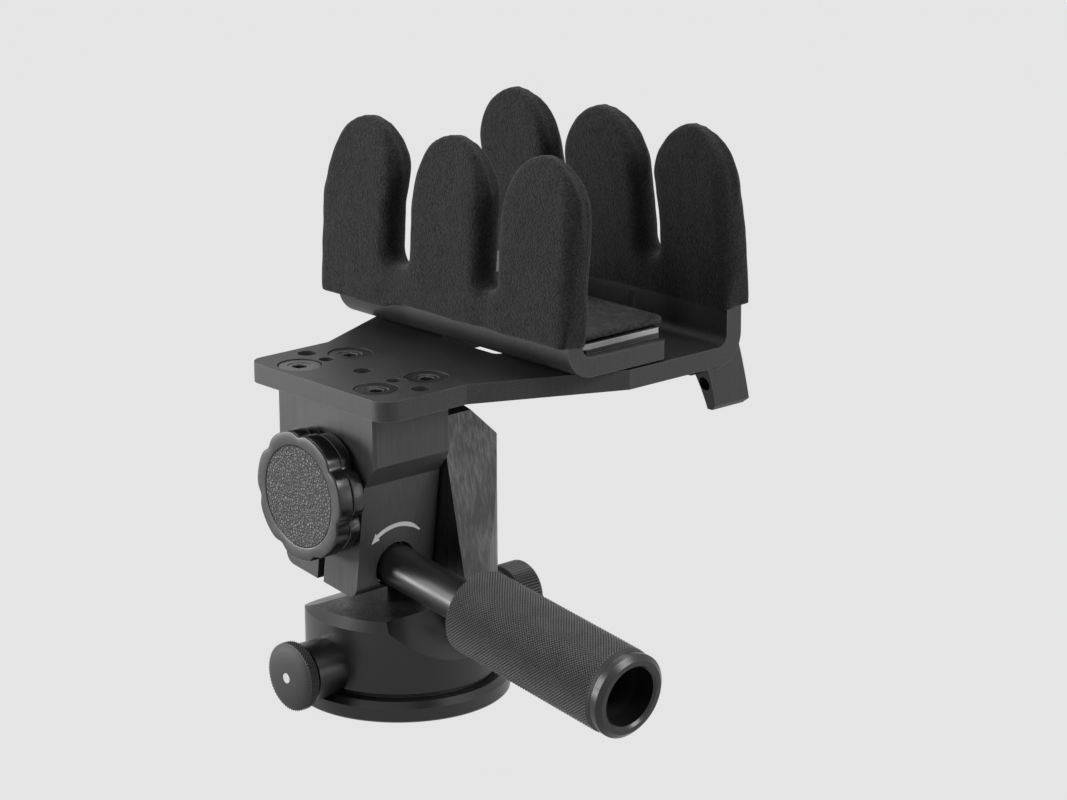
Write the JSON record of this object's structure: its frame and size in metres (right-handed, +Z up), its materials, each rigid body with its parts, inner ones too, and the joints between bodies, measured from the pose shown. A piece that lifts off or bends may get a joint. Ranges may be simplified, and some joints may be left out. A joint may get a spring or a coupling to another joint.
{
  "type": "tripod head with padded clamping saddle",
  "caption": "Pan and tilt tripod head with a long knurled handle and an offset sliding clamp of foam-padded fingers.",
  "frame": {"origin": "centre of the base's underside, at the mouth of the tripod thread", "axes": "+Z up along the pan axis, +X along the handle towards the operator, +Y across from the tilting block to the saddle; head level"},
  "size_m": [0.2189, 0.1764, 0.2125],
  "materials": {
    "anodised_black": "satin black anodised, turned",
    "anodised_matt": "bead-blasted black anodised",
    "knob_plastic": "moulded, slightly satin",
    "knob_inset": "leather-grained inset",
    "foam": "fine-grained matt foam",
    "pad_rubber": "matt moulded rubber",
    "steel_bright": "brushed",
    "steel_black": "black oxide screws",
    "knurled_black": "knurled black anodised",
    "bronze": "bearing bronze",
    "slip_polymer": "low-friction polymer",
    "pin_white": "moulded"
  },
  "bodies": {
    "base": {"base_disc": "anodised_black", "pan_spindle": "steel_bright", "base_screws": "steel_black", "pan_glide_ring": "slip_polymer", "spindle_washer": "steel_bright", "spindle_screw": "steel_black"},
    "yoke": {"yoke": "anodised_black", "pan_lock_boss": "anodised_black", "pan_drag_boss": "anodised_black", "pan_bush": "bronze", "spindle_cap": "anodised_black", "lock_brake_shoe": "slip_polymer", "drag_brake_shoe": "slip_polymer", "tilt_shaft": "steel_bright", "tilt_shaft_screw": "steel_black", "tilt_thrust_washer": "slip_polymer"},
    "pan_lock": {"pan_lock_knob": "knurled_black", "pan_lock_stud": "steel_bright", "pan_lock_centre": "pin_white"},
    "pan_drag": {"pan_drag_knob": "knurled_black", "pan_drag_stud": "steel_bright"},
    "tilt_knob": {"tilt_knob": "knob_plastic", "tilt_knob_inset": "knob_inset", "tilt_knob_stud": "steel_bright", "tilt_knob_washer": "slip_polymer"},
    "tilt_head": {"tilt_block": "anodised_black", "clamp_nut": "steel_bright", "plate_screws": "steel_black", "head_plate": "anodised_matt", "rear_foam_sleeve": "foam", "lever_pivot_screw": "steel_black", "rod_guide": "bronze", "rod_lock_plate": "steel_bright"},
    "handle": {"handle_stem": "anodised_black", "handle_thrust_washer": "steel_bright", "handle_grip": "knurled_black", "grip_end_ring": "anodised_black"},
    "front_jaw": {"front_jaw": "anodised_matt", "front_foam_sleeve": "foam", "slide_carriage": "slip_polymer", "slide_keeper": "steel_bright", "keeper_screws": "steel_black", "draw_rod": "steel_bright", "lower_rest_plate": "steel_bright", "upper_rest_plate": "steel_bright", "rest_pad": "pad_rubber"},
    "release_lever": {"release_lever": "anodised_matt"}
  },
  "joints": [
    {"name": "pan", "type": "hinge", "parent": "base", "child": "yoke", "pos_m": [0, 0, 0], "axis": [0, 0, 1], "continuous": true},
    {"name": "tilt", "type": "hinge", "parent": "yoke", "child": "tilt_head", "pos_m": [0, 0, 0.086], "axis": [0, 1, 0], "range_deg": [-80, 9.5]},
    {"name": "pan_lock_turn", "type": "hinge", "parent": "yoke", "child": "pan_lock", "pos_m": [0, -0.05, 0.0166], "axis": [0, -1, 0], "range_deg": [-25, 90]},
    {"name": "pan_drag_turn", "type": "hinge", "parent": "yoke", "child": "pan_drag", "pos_m": [0, 0.05, 0.0237], "axis": [0, 1, 0], "range_deg": [-90, 90]},
    {"name": "tilt_knob_turn", "type": "hinge", "parent": "yoke", "child": "tilt_knob", "pos_m": [0, -0.04, 0.086], "axis": [0, -1, 0], "range_deg": [-60, 180]},
    {"name": "handle_turn", "type": "hinge", "parent": "tilt_head", "child": "handle", "pos_m": [-0.00348, -0.01695, 0.05953], "axis": [0.9914, 0, -0.1305], "range_deg": [-90, 90]},
    {"name": "front_jaw_slide", "type": "slide", "parent": "tilt_head", "child": "front_jaw", "axis": [0, 1, 0], "range_m": [-0.016, 0.02]},
    {"name": "release_lever_pull", "type": "hinge", "parent": "tilt_head", "child": "release_lever", "pos_m": [0.022, 0.0988, 0.119], "axis": [0, 0, 1], "range_deg": [0, 15], "stiffness_Nm_per_rad": 0.15}
  ]
}
